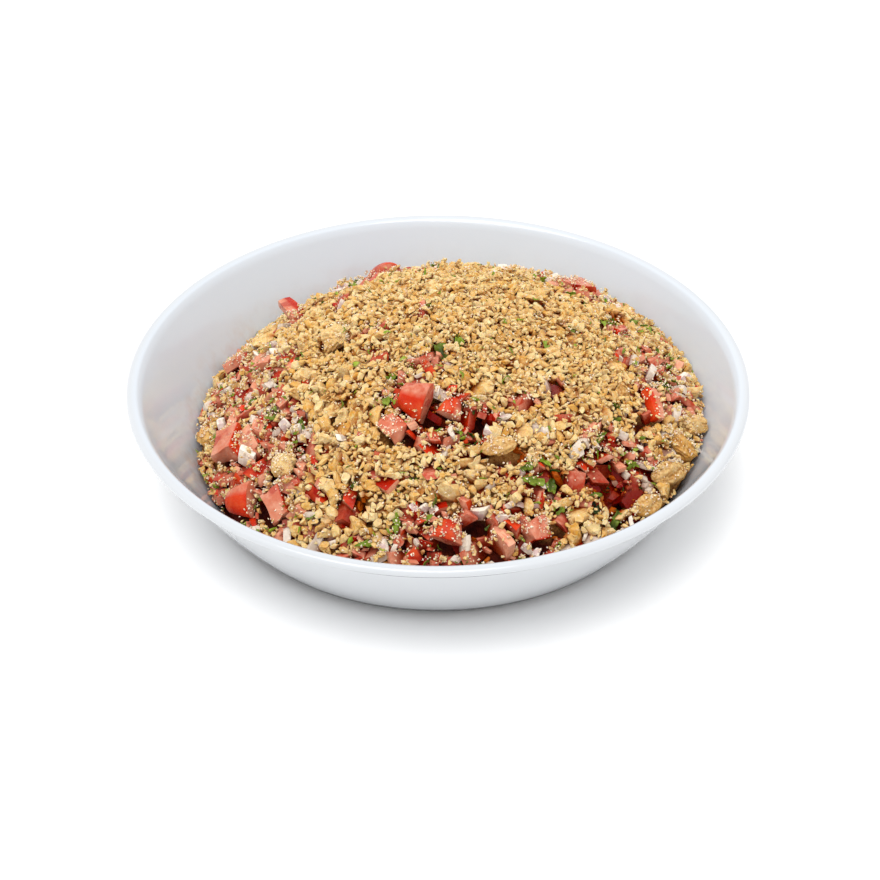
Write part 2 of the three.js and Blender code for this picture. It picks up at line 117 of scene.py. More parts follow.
# The pieces large enough to be picked off: node, form, x, y, (length, width, thickness), heading and lean.
LOOSE_PIECES = (
    ("tomato_wedge_centre", "wedge", -8, -37, (17, 11, 8), 58, 24),
    ("tomato_wedge_centre_right", "wedge", 5, -42, (10, 7, 6), -20, -8),
    ("tomato_chunk_centre_left", "cube", -17, -46, (10, 8, 5), 120, -6),
    ("tomato_strip_far_left", "strip", -61, 55, (17, 6.5, 3.5), 118, 34),
    ("tomato_slice_left", "strip", -84, 33, (12, 7, 3.5), 190, 12),
    ("tomato_strip_right", "strip", 85, -18, (14, 5.5, 4), -62, 6),
    ("tomato_wedge_near_left", "wedge", -76, -51, (15, 11, 7.5), 62, 16),
    ("tomato_cube_left", "cube", -83, -22, (13, 11, 7), 70, 8),
    ("tomato_cube_near_left", "cube", -62, -60, (13, 8, 6), 100, 4),
    ("tomato_wedge_near", "wedge", 4, -84, (13, 8, 6), -18, 4),
    ("tomato_cube_near_right", "cube", 37, -82, (9, 8, 6), 30, 0),
    ("walnut_quarter_right", "quarter", 90, -46, (18, 9, 7), 28, 2),
    ("walnut_stick_right", "quarter", 81, -62, (14, 8, 6.5), 40, 0),
    ("walnut_chunk_far_right", "chunk", 102, -15, (13, 9, 7), 25, 8),
    ("walnut_chunk_right", "chunk", 96, -31, (15, 9, 7), -20, 0),
    ("walnut_chunk_left", "chunk", -94, -8, (11, 9, 7), -60, 0),
    ("walnut_chunk_near_left", "chunk", -60, -46, (12, 10, 7.5), 60, 4),
    ("walnut_nugget_far_left", "chunk", -41, 8, (13, 12, 10), 10, 0),
    ("walnut_flake_centre_right", "quarter", 23, -57, (14, 7, 4.5), 8, 4),
    ("walnut_chunk_far_side", "chunk", 34, 60, (14, 11, 8), 140, 0),
    ("tomato_wedge_far_side", "wedge", -22, 82, (16, 11, 8), 200, 6),
    ("tomato_cube_far_side", "cube", 58, 66, (14, 10, 7), 35, 4),
)


random = np.random.default_rng(2026)


def sample(low, high, count):
    """count evenly drawn numbers from low to high."""
    return random.uniform(low, high, count)


# ---- Form of the bowl and the heap ----
def outer_radius(z):
    """Outside of the bowl's side: foot + (top - foot) * (z / height) ^ bulge."""
    share = np.maximum(z, 0) / SIDE_TOP
    return FOOT_RADIUS + (SIDE_TOP_RADIUS - FOOT_RADIUS) * share**WALL_BULGE


def inner_radius(z):
    """Inside of the side: the outside less the wall measured square to the slope."""
    step = 0.5
    slope = (outer_radius(z + step) - outer_radius(z)) / step
    return outer_radius(z) - WALL * np.hypot(1, slope)


def edge_level(azimuth):
    """Height at which the food meets the side: mean + swing * cos(azimuth - high side)."""
    return EDGE_LEVEL + EDGE_SWING * np.cos(azimuth - EDGE_HIGH_SIDE)


def edge_radius(azimuth):
    """Radius of the food's edge: the bowl's inside there, less a gap."""
    return inner_radius(edge_level(azimuth)) - GAP * 1.3


def humps(x, y, share):
    """Slow humps and hollows of the heaped salad, up to 2 mm, fading out at its edge."""
    broad = np.sin(0.21 * x + 1.3 * np.sin(0.17 * y + 1)) * np.cos(0.19 * y - 0.6 * np.sin(0.23 * x))
    small = np.sin(0.43 * x - 0.31 * y + 2) * np.sin(0.37 * y + 0.29 * x)
    return (BROAD_HUMPS * broad + SMALL_HUMPS * small) * np.clip((1 - share) / HUMPS_FADE, 0, 1)


def heap_level(share, azimuth):
    """Height of the heap at a share of the way from its middle to its edge."""
    tilt = EDGE_SWING * np.cos(azimuth - EDGE_HIGH_SIDE) * share
    radius = share * edge_radius(azimuth)
    dome = EDGE_LEVEL + tilt + HEAP_RISE * (1 - share**HEAP_ROUNDNESS)
    return dome + humps(radius * np.cos(azimuth), radius * np.sin(azimuth), share)


def heap_height(x, y):
    """Height of the dome over a place seen from above."""
    azimuth = np.arctan2(y, x)
    return heap_level(np.minimum(np.hypot(x, y) / edge_radius(azimuth), 1), azimuth)


def heap_normal(x, y):
    """Unit normal of the dome, from its slopes along X and Y."""
    step = 1.0
    along_x = (heap_height(x + step, y) - heap_height(x - step, y)) / (2 * step)
    along_y = (heap_height(x, y + step) - heap_height(x, y - step)) / (2 * step)
    normal = np.stack([-along_x, -along_y, np.ones_like(along_x)], -1)
    return normal / np.linalg.norm(normal, axis=-1, keepdims=True)


def outward(x, y):
    """0 at the middle of the heap, 1 at its edge."""
    return np.hypot(x, y) / edge_radius(np.arctan2(y, x))


def bareness(x, y):
    """1 well inside a bare patch, 0 outside: the ellipse's own distance with a wavy border."""
    wave = 0.16 * np.sin(0.31 * x + 1.7 * np.sin(0.23 * y)) * np.cos(0.27 * y - 0.4)
    share = np.zeros(np.shape(x))
    for middle_x, middle_y, across, along in BARE_PATCHES:
        distance = np.hypot((x - middle_x) / across, (y - middle_y) / along)
        share = np.maximum(share, np.clip((1.03 - distance + wave) / 0.3, 0, 1))
    return share


def hollow(x, y):
    """1 inside a dark hollow, falling to 0 round it."""
    share = np.zeros(np.shape(x))
    for middle_x, middle_y, radius in HOLLOWS:
        share = np.maximum(share, np.clip(1.5 - np.hypot(x - middle_x, y - middle_y) / radius, 0, 1))
    return share


def wall_height(radius):
    """Height at which the bowl's inside has this radius."""
    level = np.linspace(FLOOR, SIDE_TOP, 85)
    return np.interp(radius, inner_radius(level), level)


def bed(x, y):
    """Height of the core that the pieces lie on: sunk under the dome, deeper in the bare patches and deepest
    in the hollows, but clear of the bowl's side."""
    sunk = CORE_SUNK + (CORE_SUNK_IN_PATCHES - CORE_SUNK) * bareness(x, y) + HOLLOW_DEPTH * hollow(x, y)
    return np.maximum(heap_height(x, y) - sunk, wall_height(np.hypot(x, y) + CLEAR_OF_SIDE))


def shade_and_damp(points):
    """Painted shade and dampness: 0 on top of the heap, 1 at the set depth under the dome, and sooner in the
    hollows.
    """
    x, y, z = points.T
    depth = heap_height(x, y) - z
    return np.clip(depth / DAMP_SHADE_DEPTH + 0.6 * hollow(x, y), 0, 1)


# ---- Meshes ----
def make_piece(name, points, triangles, look, replaced, tint=None, smooth=False, damp_shade=None):
    """A mesh piece from arrays in millimetres. tint is one RGBA per triangle or per point, and the last
    argument gives each point's painted shade and dampness, kept in the tint's alpha."""
    mesh = bpy.data.meshes.new(name)
    mesh.vertices.add(len(points))
    mesh.vertices.foreach_set("co", (np.asarray(points) * MM).astype(np.float32).ravel())
    mesh.loops.add(3 * len(triangles))
    mesh.loops.foreach_set("vertex_index", np.asarray(triangles, np.int32).ravel())
    mesh.polygons.add(len(triangles))
    mesh.polygons.foreach_set("loop_start", 3 * np.arange(len(triangles), dtype=np.int32))
    mesh.polygons.foreach_set("use_smooth", np.full(len(triangles), smooth))
    mesh.update(calc_edges=True)
    if tint is not None:
        corners = np.asarray(triangles).ravel()
        per_corner = tint[corners] if len(tint) == len(points) else np.repeat(tint, 3, axis=0)
        if damp_shade is not None:
            per_corner[:, 3] = damp_shade[corners]
        layer = mesh.attributes.new("tint", "FLOAT_COLOR", "CORNER")
        layer.data.foreach_set("color", per_corner.astype(np.float32).ravel())
    mesh.materials.append(look)
    piece = bpy.data.objects.new(name, mesh)
    bpy.context.scene.collection.objects.link(piece)
    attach(piece, "root")
    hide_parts(replaced)
    return piece


def between(*corners):
    """Triangles, from the numbers of their three corners in as many arrays."""
    return np.stack(corners, -1).reshape(-1, 3)


def closed_rings(grid, first, last):
    """Rings of points, each joined to the next, and the end ones to a single point."""
    rows, around = grid.shape[:2]
    points = np.concatenate([[first], grid.reshape(-1, 3), [last]])
    index = 1 + np.arange(rows * around).reshape(rows, around)
    beside = np.roll(index, -1, axis=1)
    start = between(np.zeros(around, int), beside[0], index[0])
    lower = between(index[:-1], beside[:-1], beside[1:])
    upper = between(index[:-1], beside[1:], index[1:])
    end = between(np.full(around, len(points) - 1), index[-1], beside[-1])
    return points, np.concatenate([start, lower, upper, end])


def lathe(profile, around):
    """Closed profile (r, z) turned about Z: p(i, t) = (r_i cos t, r_i sin t, z_i), its ends on the axis."""
    ring = profile[1:-1]
    t = TURN * np.arange(around) / around
    x = ring[:, :1] * np.cos(t)
    y = ring[:, :1] * np.sin(t)
    z = np.repeat(ring[:, 1:], around, axis=1)
    return closed_rings(np.stack([x, y, z], -1), [0, 0, profile[0, 1]], [0, 0, profile[-1, 1]])


def ball_grid(around, rows):
    """Unit ball p(u, v) = (sin v cos u, sin v sin u, cos v): rings between two poles, every other one turned
    by half a step."""
    row = np.arange(rows)
    v = np.pi * (row + 1) / (rows + 1)
    u = TURN * (np.arange(around)[None, :] + 0.5 * (row[:, None] % 2)) / around
    sides = np.sin(v)[:, None]
    ring = np.stack([sides * np.cos(u), sides * np.sin(u), np.cos(v)[:, None] + 0 * u], -1).reshape(-1, 3)
    points = np.concatenate([[[0, 0, 1]], ring, [[0, 0, -1]]])
    index = 1 + np.arange(rows * around).reshape(rows, around)
    beside = np.roll(index, -1, axis=1)
    even, odd = slice(0, rows - 1, 2), slice(1, rows - 1, 2)
    below_even, below_odd = slice(1, rows, 2), slice(2, rows, 2)
    faces = [
        between(np.zeros(around, int), index[0], beside[0]),
        between(np.full(around, len(points) - 1), beside[-1], index[-1]),
        between(index[even], index[below_even], beside[even]),
        between(beside[even], index[below_even], beside[below_even]),
        between(index[odd], index[below_odd], beside[below_odd]),
        between(index[odd], beside[below_odd], beside[odd]),
    ]
    return points, np.concatenate(faces)


def block(steps, rounding, crowded=False):
    """Cube of half size 1, from the outer points of a lattice. Edges and corners are drawn in by
    p / (1 + rounding * (|p|^2 - 1)), and crowded moves the points towards them by t = sin(pi t / 2)."""
    side = np.arange(steps + 1)
    lattice = np.stack(np.meshgrid(side, side, side, indexing="ij"), -1)
    outer = (lattice.min(-1) == 0) | (lattice.max(-1) == steps)
    number = np.cumsum(outer).reshape(outer.shape) - 1
    points = lattice[outer] * 2.0 / steps - 1
    if crowded:
        points = np.sin(np.pi / 2 * points)
    points = points / (1 + rounding * ((points**2).sum(-1, keepdims=True) - 1))
    faces = []
    for axis in range(3):
        for end in (0, steps):
            sheet = np.take(number, end, axis=axis)
            if (end == 0) != (axis == 1):
                sheet = sheet.T
            a, b, c, d = sheet[:-1, :-1], sheet[1:, :-1], sheet[1:, 1:], sheet[:-1, 1:]
            faces += [between(a, b, c), between(a, c, d)]
    return points, np.concatenate(faces)


def unit(vectors):
    """The same directions, one long."""
    return vectors / np.linalg.norm(vectors, axis=-1, keepdims=True)


def lying_turns(x, y, heading, tilt):
    """Rotation matrices: Z is the heap's normal tipped at random by tilt, and X the heading square to it."""
    out = unit(heap_normal(x, y) + tilt * random.normal(size=(len(x), 3)))
    ahead = np.stack([np.cos(heading), np.sin(heading), 0 * heading], -1)
    ahead = unit(ahead - out * (ahead * out).sum(-1, keepdims=True))
    return np.stack([ahead, np.cross(out, ahead), out], -1)


def copies(shapes, triangles, which, sizes, turns, places):
    """Every piece as turn * (size * shape[which]) + place, all joined in one array."""
    points = np.einsum("nij,nvj->nvi", turns, shapes[which] * sizes[:, None, :]) + places[:, None, :]
    step = shapes.shape[1] * np.arange(len(which))[:, None, None]
    return points.reshape(-1, 3), (triangles[None] + step).reshape(-1, 3)


def tint_of(faces, which, skin, light, hue):
    """Per triangle: its piece's light, a little different on each broken face, its hue, and its skin."""
    tint = np.ones((len(which), faces, 4))
    tint[..., 0] = np.clip(light[:, None] + FACE_TO_FACE * random.normal(size=(len(which), faces)), 0, 1)
    tint[..., 1] = hue[:, None]
    tint[..., 2] = skin[which]
    return tint.reshape(-1, 4)


# ---- The pile that grows as pieces are dropped on it ----
class Pile:
    """Heights on a square grid seen from above, and the looks of what is dropped on it."""

    STEP = 0.5
    HALF = 118.0

    def __init__(self, looks):
        self.looks = looks
        axis = np.arange(-self.HALF, self.HALF + self.STEP, self.STEP)
        self.x, self.y = np.meshgrid(axis, axis, indexing="ij")
        self.dome = heap_height(self.x, self.y)
        self.height = bed(self.x, self.y)
        self.half_full = (self.dome + self.height) / 2
        self.taken = np.zeros(self.x.shape, bool)

    def cell(self, xy):
        """Row and column of the grid point nearest to each place."""
        return np.clip(((xy + self.HALF) / self.STEP).round().astype(int), 0, len(self.x) - 1)

    def cover(self, points):
        """Raises the pile to a piece that already lies on it, and marks its place as taken."""
        i, j = self.cell(points[:, :2]).T
        for aside in (-1, 0, 1):
            for ahead in (-1, 0, 1):
                np.maximum.at(self.height, (i + aside, j + ahead), points[:, 2])
                self.taken[i + aside, j + ahead] = True

    def covered(self, x, y):
        """1 where one of the large loose pieces lies."""
        i, j = self.cell(np.stack([x, y], -1)).T
        return self.taken[i, j].astype(float)

    def free(self, x, y):
        """1 where nothing large lies yet, and hardly anything where a hollow stays open."""
        return (1 - self.covered(x, y)) * (1 - 0.97 * hollow(x, y))

    def drop(self, spots, half, ceiling, tries):
        """Drops balls as wide and high as the half sizes say: each takes the emptiest of a few random spots
        clear of the food's edge, and comes down between what lies there, or against the bowl's side. One that
        finds no such spot, or that would stand over the dome by more than ceiling, is left out: its middle is
        no number."""
        reach = np.maximum(np.sqrt(half[:, 0] * half[:, 1]) * FOOTPRINT, self.STEP)
        rise, longest = (half.min(-1) + half.mean(-1)) / 2, half.max(-1)
        middles = np.full((len(half), 3), np.nan)
        picks = random.integers(len(spots), size=(len(half), tries))
        cells = self.cell(spots)
        away = np.hypot(spots[:, 0], spots[:, 1])
        room = edge_radius(np.arctan2(spots[:, 1], spots[:, 0])) - away
        filled = self.height - self.half_full
        for n in range(len(half)):
            i, j = cells[picks[n]].T
            level = np.where(room[picks[n]] > CLEAR_OF_EDGE * longest[n], filled[i, j], np.inf)
            if np.isinf(level.min()):
                continue
            best = picks[n][np.argmin(level)]
            (x, y), (i, j) = spots[best], cells[best]
            k = int(reach[n] / self.STEP) + 1
            window = (slice(i - k, i + k + 1), slice(j - k, j + k + 1))
            squared = ((self.x[window] - x) ** 2 + (self.y[window] - y) ** 2) / reach[n] ** 2
            cap = rise[n] * np.sqrt(np.clip(1 - squared, 0, 1))
            inside = squared < 1
            z = np.quantile((self.height[window] + cap)[inside], REST)
            z = max(z, wall_height(away[best] + CLEAR_OF_WALL * longest[n]))
            if z + rise[n] - self.dome[i, j] > ceiling or z + longest[n] > HIGHEST:
                continue
            height = self.height[window]
            self.height[window] = np.where(inside, np.maximum(height, z + cap), height)
            filled[window] = self.height[window] - self.half_full[window]
            middles[n] = x, y, z
        return middles


def spots_on_heap(count, wanted, pile):
    """Random places seen from above, even over the heap, kept with the chance that wanted gives."""
    azimuth = sample(0, TURN, count)
    radius = edge_radius(azimuth) * np.sqrt(sample(0, 1, count))
    spots = np.stack([radius * np.cos(azimuth), radius * np.sin(azimuth)], -1)
    return spots[sample(0, 1, count) < wanted(spots[:, 0], spots[:, 1], pile)]


# ---- Materials ----
def paint(red, green, blue):
    """A colour given as it looks on screen, 0 to 255, as linear light."""
    share = np.array([red, green, blue]) / 255
    linear = np.where(share <= 0.04045, share / 12.92, ((share + 0.055) / 1.055) ** 2.4)
    return (*linear.tolist(), 1.0)


class Look:
    """A material made of nodes, with a short way to add one."""

    def __init__(self, name, roughness, **constants):
        self.material = bpy.data.materials.new(name)
        self.material.use_nodes = True
        self.tree = self.material.node_tree
        self.shader = self.tree.nodes["Principled BSDF"]
        self.shader.inputs["Roughness"].default_value = roughness
        for socket, value in constants.items():
            self.shader.inputs[socket.replace("_", " ")].default_value = value
        self.place = self.add("ShaderNodeTexCoord").outputs["Object"]

    def soften(self, weight, *reach):
        """Lets light pass under the surface: reach is how far its red, green and blue go, in millimetres."""
        self.shader.inputs["Subsurface Weight"].default_value = weight
        self.shader.inputs["Subsurface Radius"].default_value = reach
        self.shader.inputs["Subsurface Scale"].default_value = MM

    def add(self, kind, inputs=(), **settings):
        """A new node. An input is either a socket to link or a value to set."""
        added = self.tree.nodes.new(kind)
        for key, value in settings.items():
            setattr(added, key, value)
        for key, value in dict(inputs).items():
            if isinstance(value, bpy.types.NodeSocket):
                self.tree.links.new(value, added.inputs[key])
            else:
                added.inputs[key].default_value = value
        return added

    def noise(self, scale, detail=2.0, roughness=0.5):
        """Noise over the place on the object; scale is how many lumps there are in a metre."""
        settings = {"Vector": self.place, "Scale": scale, "Detail": detail, "Roughness": roughness}
        return self.add("ShaderNodeTexNoise", settings).outputs["Fac"]

    def curve(self, value, low, high, start=0.0, end=1.0):
        """value from low..high laid out over start..end, and held there."""
        settings = {"Value": value, "From Min": low, "From Max": high, "To Min": start, "To Max": end}
        return self.add("ShaderNodeMapRange", settings).outputs["Result"]

    def mix(self, share, first, second, blend="MIX"):
        mixed = self.add("ShaderNodeMix", {0: share, 6: first, 7: second}, data_type="RGBA", blend_type=blend)
        return mixed.outputs[2]

    def times(self, first, second):
        return self.add("ShaderNodeMath", {0: first, 1: second}, operation="MULTIPLY").outputs[0]

    def tint(self):
        """light, hue and skin of the mesh's own tint."""
        self.own = self.add("ShaderNodeAttribute", attribute_name="tint")
        return self.add("ShaderNodeSeparateColor", {"Color": self.own.outputs["Color"]}).outputs

    def damp_and_shaded(self, body, damp_shade):
        """body multiplied by a dark tone of painted shade and dampness, as far as the tint's alpha goes."""
        return self.mix(self.own.outputs["Alpha"], body, self.mix(1.0, body, damp_shade, "MULTIPLY"))

    def colour(self, socket):
        self.tree.links.new(socket, self.shader.inputs["Base Color"])

    def rough(self, socket):
        self.tree.links.new(socket, self.shader.inputs["Roughness"])

    def bump(self, height, distance, strength=1.0):
        """distance is the bump's depth in millimetres."""
        settings = {"Height": height, "Distance": distance * MM, "Strength": strength}
        bumped = self.add("ShaderNodeBump", settings)
        self.tree.links.new(bumped.outputs["Normal"], self.shader.inputs["Normal"])


def glaze_look():
    """Smooth white glaze, painted lighter and cooler inside against the shade and warm bounced light there,
    with painted shade in a thin line under the lip and on the foot by the floor, and a thin smear of juice
    over the food."""
    look = Look("white_glaze", 0.14, IOR=1.5, Coat_Weight=0.3, Coat_Roughness=0.06)
    inside, juice, crease = look.tint()[:3]
    cloud = look.noise(14.0, 3.0)
    # painted light: the inside is a little lighter and bluer than the outside, to lift its shade and cancel
    # the warm light the food throws on it
    outer = look.mix(cloud, paint(194, 197, 201), paint(200, 203, 206))
    inner = look.mix(cloud, paint(200, 206, 213), paint(206, 212, 219))
    glaze = look.mix(inside, outer, inner)
    # painted shade: dark grey in a thin line under the lip and on the tucked foot where it meets the floor
    glaze = look.mix(look.times(crease, 0.95), glaze, paint(96, 98, 102))
    blots = look.curve(look.noise(130.0, 4.0, 0.6), 0.45, 0.7)
    look.colour(look.mix(look.times(look.times(juice, blots), 0.5), glaze, paint(186, 150, 122)))
    look.rough(look.curve(look.noise(60.0, 3.0), 0.3, 0.7, 0.12, 0.2))
    look.bump(look.noise(55.0, 1.0), 0.12, 0.35)
    return look.material


def walnut_look(name, golden, cream, amber):
    """Broken kernel: golden to cream inside, thin tan to brown skin outside, with fine pores."""
    look = Look(name, 0.6, Specular_IOR_Level=0.05)
    look.soften(0.25, 1.6, 0.8, 0.25)
    light, hue, skin = look.tint()[:3]
    cloud = look.curve(look.noise(420.0, 4.0, 0.6), 0.3, 0.7, -0.3, 0.3)
    shade = look.add("ShaderNodeMath", {0: light, 1: cloud}, operation="ADD", use_clamp=True).outputs[0]
    kernel = look.mix(shade, golden, cream)
    kernel = look.mix(look.times(hue, 0.3), kernel, amber)
    husk = look.mix(hue, paint(142, 88, 36), paint(206, 152, 82))
    patchy = look.curve(look.noise(900.0, 3.0), 0.4, 0.6)
    covered = look.times(skin, look.curve(patchy, 0.0, 1.0, 0.2, 0.9))
    body = look.mix(covered, kernel, husk)
    pores = look.curve(look.noise(2200.0, 3.0, 0.6), 0.28, 0.5, 0.82, 1.0)
    body = look.mix(1.0, body, pores, "MULTIPLY")
    # painted shade and dampness: deep in the heap the kernel turns dark golden brown
    look.colour(look.damp_and_shaded(body, paint(196, 112, 30)))
    look.bump(look.noise(1500.0, 4.0, 0.6), 0.35, 0.6)
    return look.material


def tomato_look():
    """Wet tomato: coral flesh with paler strands and deep red gel, and a glossy red skin."""
    look = Look("tomato_flesh", 0.24, Specular_IOR_Level=0.14)
    look.soften(0.12, 2.0, 0.7, 0.35)
    light, hue, skin = look.tint()[:3]
    flesh = look.mix(light, paint(184, 66, 38), paint(228, 166, 132))
    strands = look.curve(look.noise(260.0, 4.0, 0.55), 0.42, 0.66)
    flesh = look.mix(look.times(strands, 0.5), flesh, paint(232, 180, 152))
    gel = look.curve(look.noise(130.0, 2.0, 0.5), 0.56, 0.64)
    flesh = look.mix(look.times(gel, 0.7), flesh, paint(166, 24, 8))
    peel = look.mix(hue, paint(152, 12, 2), paint(220, 56, 16))
    peel = look.mix(look.curve(look.noise(180.0, 2.0), 0.45, 0.65, 0.0, 0.6), peel, paint(222, 92, 46))
    # painted shade and dampness: deep in the heap the tomato turns dark red-brown
    look.colour(look.damp_and_shaded(look.mix(skin, flesh, peel), paint(176, 100, 62)))
    look.rough(look.curve(look.noise(700.0, 2.0), 0.35, 0.65, 0.14, 0.36))
    look.bump(look.noise(1100.0, 4.0, 0.6), 0.35, 0.6)
    return look.material


def onion_look():
    """Raw diced onion: translucent white with faint lilac edges and fine veins."""
    look = Look("onion_white", 0.26, Specular_IOR_Level=0.25)
    look.soften(0.25, 1.2, 1.2, 1.1)
    light, hue, skin = look.tint()[:3]
    white = look.mix(light, paint(206, 188, 170), paint(246, 236, 220))
    veins = look.curve(look.noise(500.0, 2.0), 0.45, 0.6)
    white = look.mix(look.times(veins, 0.4), white, paint(198, 184, 168))
    white = look.mix(look.times(look.times(skin, hue), 0.6), white, paint(186, 140, 150))
    # painted shade and dampness: deep in the heap the onion turns greyish brown
    look.colour(look.damp_and_shaded(white, paint(190, 150, 136)))
    look.bump(look.noise(600.0, 2.0), 0.25, 0.4)
    return look.material


def parsley_look():
    """Fresh parsley: dark to lime green, softly shining."""
    look = Look("parsley_leaf", 0.38, Specular_IOR_Level=0.2)
    look.soften(0.1, 0.5, 1.0, 0.2)
    light, hue = look.tint()[:2]
    green = look.mix(light, paint(34, 54, 4), paint(126, 152, 22))
    green = look.mix(look.times(hue, 0.55), green, paint(186, 204, 78))
    veins = look.curve(look.noise(900.0, 3.0), 0.4, 0.65)
    green = look.mix(look.times(veins, 0.35), green, paint(48, 74, 18))
    # painted shade and dampness: deep in the heap the parsley turns dull olive
    look.colour(look.damp_and_shaded(green, paint(120, 130, 90)))
    look.bump(look.noise(1100.0, 3.0), 0.2, 0.5)
    return look.material


def core_look():
    """What shows between the pieces: darker nut meal on top, and a near-black red of painted shade and tomato
    juice in the bare patches and hollows.
    """
    look = Look("meal_and_juice", 0.45, Specular_IOR_Level=0.15)
    bare = look.tint()[0]
    # painted shade: near-black red for the shade between the pieces, with tomato juice
    wet = look.mix(look.curve(look.noise(160.0, 3.0), 0.35, 0.65), paint(58, 9, 3), paint(116, 34, 14))
    grain = look.curve(look.noise(900.0, 4.0, 0.7), 0.35, 0.65)
    meal = look.mix(grain, paint(142, 82, 24), paint(206, 152, 84))
    look.colour(look.mix(look.curve(bare, 0.1, 0.5), meal, wet))
    look.bump(look.noise(900.0, 4.0, 0.7), 0.8, 0.8)
    return look.material


# ---- Bowl ----
def arc(middle_r, middle_z, radius, start, end, count):
    """Points (r, z) = middle + radius * (cos t, sin t), t from start to end in degrees."""
    t = np.radians(np.linspace(start, end, count))
    return np.stack([middle_r + radius * np.cos(t), middle_z + radius * np.sin(t)], -1)


def bowl_profile():
    """From the middle of the underside, over the foot ring, up the side, round the lip and back inside."""
    lip_middle = (BOWL_RADIUS - LIP_THICKNESS / 2, BOWL_HEIGHT - LIP_THICKNESS / 2)
    ring_inside = FOOT_RADIUS - FOOT_RING
    crease = lip_middle[1] - LIP_THICKNESS / 2
    up = np.linspace(FOOT_TUCK + 0.4, SHADE_LINE[0] - 0.2, 38)
    up = np.append(up, [SHADE_LINE[0], SHADE_LINE[0] + 0.1, SHADE_LINE[1] - 0.1, SHADE_LINE[1], crease - 0.12, crease])
    down = np.linspace(lip_middle[1] - 2.0, CORNER, 40)
    under = [[0, FOOT_RECESS], [ring_inside - 6, FOOT_RECESS], [ring_inside - FOOT_RECESS, FOOT_RECESS - 0.1]]
    tucked = FOOT_RADIUS - FOOT_TUCK
    foot = [[ring_inside - 0.4, 0.15], [ring_inside + 0.2, 0], [tucked - 0.4, 0], [tucked, 0.25]]
    foot += [[tucked + 2.5, 1.3], [tucked + 5.5, 1.7], [outer_radius(FOOT_TUCK) - 0.9, 2.4]]
    foot += [[outer_radius(FOOT_TUCK) - 0.2, FOOT_TUCK - 0.4]]
    lip_inside = BOWL_RADIUS - LIP_WIDTH
    shoulder = [[lip_inside + 0.8, BOWL_HEIGHT - 0.18], [lip_inside - 0.2, BOWL_HEIGHT - 0.75]]
    corner = arc(inner_radius(CORNER) - 3.2, CORNER + 0.2, 4.2, -8, -82, 8)
    floor = [[inner_radius(CORNER) - 8, FLOOR], [0, FLOOR]]
    parts = [under, foot, np.stack([outer_radius(up), up], -1)]
    ledge = [[outer_radius(crease) + 0.12, crease], [lip_middle[0] - 0.25, crease]]
    parts += [ledge, arc(*lip_middle, LIP_THICKNESS / 2, -84, 90, 18), shoulder]
    parts += [np.stack([inner_radius(down), down], -1), corner, floor]
    return np.concatenate([np.asarray(part, float) for part in parts])


def make_bowl(look):
    """The bowl, tinted by three masks: its inside, a band of juice that fades out over the food, most on the
    left, and painted shade in a thin line under the lip and on the tucked foot by the floor."""
    points, triangles = lathe(bowl_profile(), 480)
    x, y, z = points.T
    azimuth = np.arctan2(y, x)
    middle = (outer_radius(z) + inner_radius(z)) / 2
    inside = (np.hypot(x, y) < middle) & (z > FOOT_RECESS + 0.5)
    over = z - edge_level(azimuth)
    side = 0.5 + 0.5 * np.cos(azimuth - JUICY_SIDE)
    tint = np.ones((len(points), 4))
    in_shade_line = (z > SHADE_LINE[0]) & (z < SHADE_LINE[1])
    foot_in_shade = z < FOOT_TUCK - 0.3
    tint[:, 0] = inside
    tint[:, 1] = inside * np.clip(1 - over / JUICE_HEIGHT, 0, 1) * (0.1 + 0.9 * side**2)
    # painted shade, outside only: the thin line under the lip and the tucked foot by the floor
    tint[:, 2] = ~inside & (in_shade_line | foot_in_shade)
    return make_piece("bowl_glazed", points, triangles, look, "bowl", tint=tint, smooth=True)


# ---- Loose pieces, made about their own middle as their solids are ----
def outermost(reach):
    """1 on the outermost face of a block, falling to 0 at 0.8 of the way out to it."""
    return np.clip((reach - 0.8) / 0.18, 0, 1)


def cube_form(size):
    """Rounded box with its corners pushed out of square by a slow wave."""
    box, triangles = block(14, 0.02, crowded=True)
    pull = 1 + 0.13 * np.sin(1.9 * box[:, 0] + 2.6 * box[:, 1] + 1.7 * box[:, 2] + size[0])
    x = box[:, 0] * pull * (1 - 0.07 * box[:, 2])
    y = box[:, 1] * pull
    z = box[:, 2] * (1 + 0.08 * np.cos(0.9 * box[:, 0] - 1.3 * box[:, 1]))
    points = np.stack([x, y, z], -1) * np.array(size) / 2
    return points, triangles, outermost(-box[:, 1])


def wedge_form(size):
    """Tomato wedge: an arc of skin over two flat cuts that meet in a keel, z from bottom(x) to top(x),
    tapered and bowed along y."""
    length, width, thickness = size
    box, triangles = block(16, 0.01, crowded=True)
    x, y, up = box[:, 0], box[:, 1], (box[:, 2] + 1) / 2
    top = 0.5 * np.sqrt(np.clip(1 - x * x, 0, 1)) - 0.05
    keel = 0.24
    bottom = np.interp(x, [-1, keel, 1], [-0.15, -0.5, -0.15])
    z = thickness * (bottom + (top - bottom) * up) + 0.12 * width * (1 - y * y)
    taper = 1 - 0.4 * (y / 2 + 0.5)
    points = np.stack([x * taper * length / 2, y * width / 2, z], -1)
    return points, triangles, outermost(box[:, 2]) * np.clip((0.55 - x) / 0.3, 0, 1)


def strip_form(size):
    """Curved strip: width falls and height bows with the square of the way along it."""
    length, width, thickness = size
    box, triangles = block(14, 0.02, crowded=True)
    along = box[:, 0] / 2
    y = box[:, 1] * width / 2 * (1 - 0.35 * along**2 - 0.12 * along)
    z = box[:, 2] * thickness / 2 + 0.14 * length * (0.25 - along**2) - 0.08 * np.abs(y)
    points = np.stack([box[:, 0] * length / 2, y, z], -1)
    return points, triangles, np.clip((0.1 - box[:, 1]) / 0.3, 0, 1)


